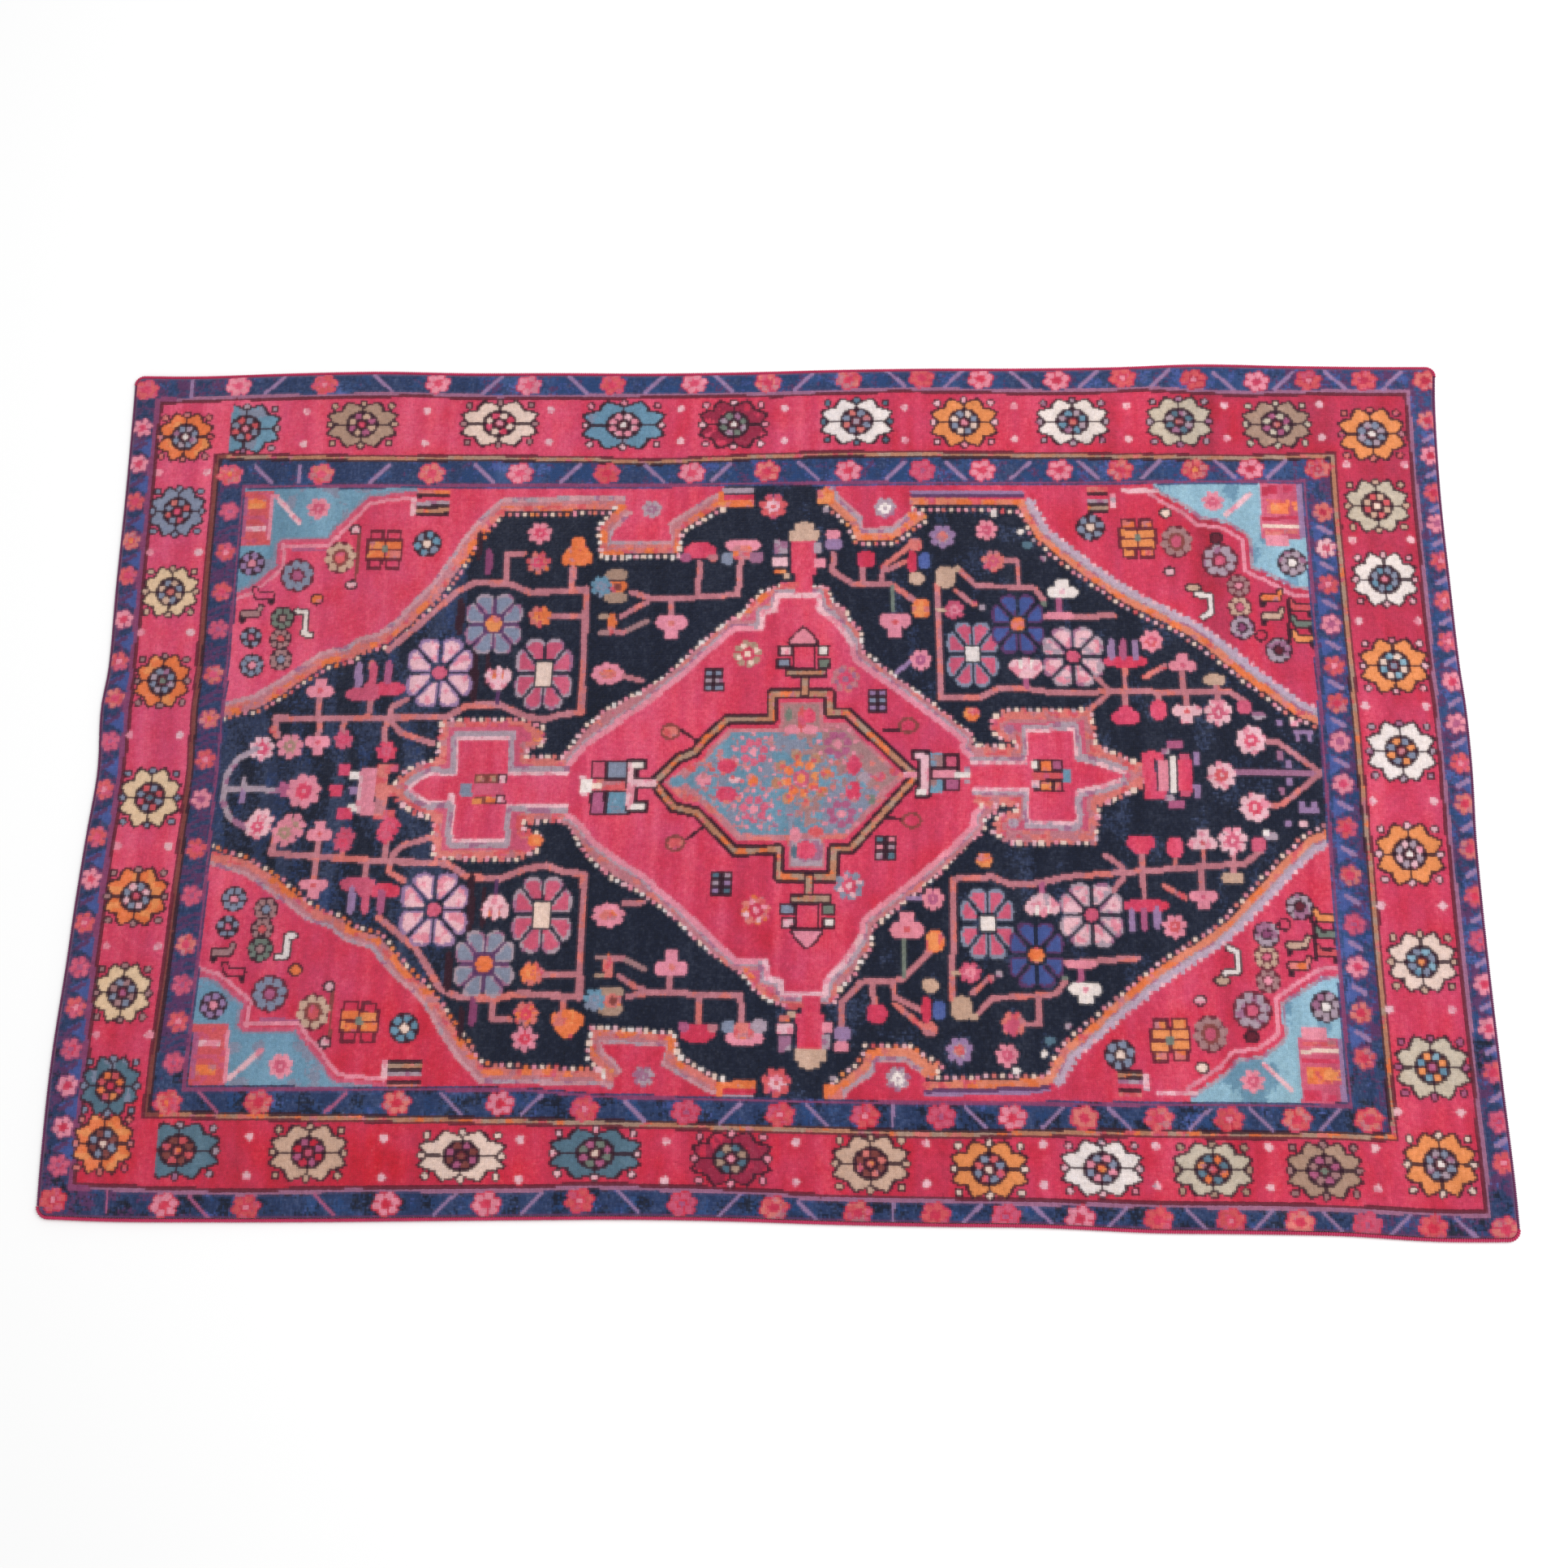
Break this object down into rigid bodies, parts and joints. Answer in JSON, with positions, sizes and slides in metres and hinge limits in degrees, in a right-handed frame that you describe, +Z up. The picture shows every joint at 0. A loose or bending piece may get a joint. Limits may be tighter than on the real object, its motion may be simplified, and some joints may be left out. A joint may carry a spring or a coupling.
{
  "type": "persian rug",
  "caption": "Hand-knotted wool pile rug with a stepped lozenge medallion, rosette border and overcast edges, lying flat.",
  "frame": {"origin": "middle of the rug's outline, on its underside", "axes": "+X along the length, +Y across the width towards the far long side, +Z up out of the pile"},
  "size_m": [2.1313, 1.3582, 0.009],
  "materials": {
    "knotted_rug": "clipped wool pile, knotted in crimson, navy, blue, pink, orange and cream",
    "selvedge": "crimson wool, overcast round the side cords",
    "end_binding": "dark purple wool, oversewn"
  },
  "bodies": {
    "root": {"knotted_rug": "knotted_rug", "selvedge_near": "selvedge", "selvedge_far": "selvedge", "end_binding_left": "end_binding", "end_binding_right": "end_binding"}
  },
  "joints": []
}
